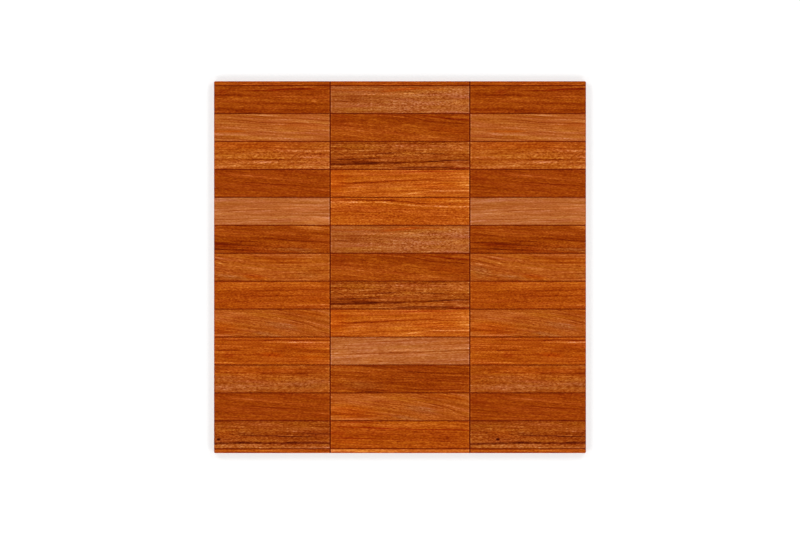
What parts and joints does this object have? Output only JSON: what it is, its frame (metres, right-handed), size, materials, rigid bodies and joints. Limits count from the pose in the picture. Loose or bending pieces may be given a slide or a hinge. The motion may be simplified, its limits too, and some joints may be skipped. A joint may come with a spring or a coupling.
{
  "type": "floor tile",
  "caption": "Square glazed ceramic floor tile with a wood-strip parquet face, shallow joints between the strips and a keyed back.",
  "frame": {"origin": "centre of the bedding plane, which is the back that lies on the floor", "axes": "+Z out of the printed face, +X along the strips, +Y across the strips, towards the top of the picture"},
  "size_m": [0.45, 0.45, 0.008],
  "materials": {
    "glazed_tile": "satin glaze over a printed wood-strip pattern, on a red fired body"
  },
  "bodies": {
    "root": {"floor_tile": "glazed_tile"}
  },
  "joints": []
}
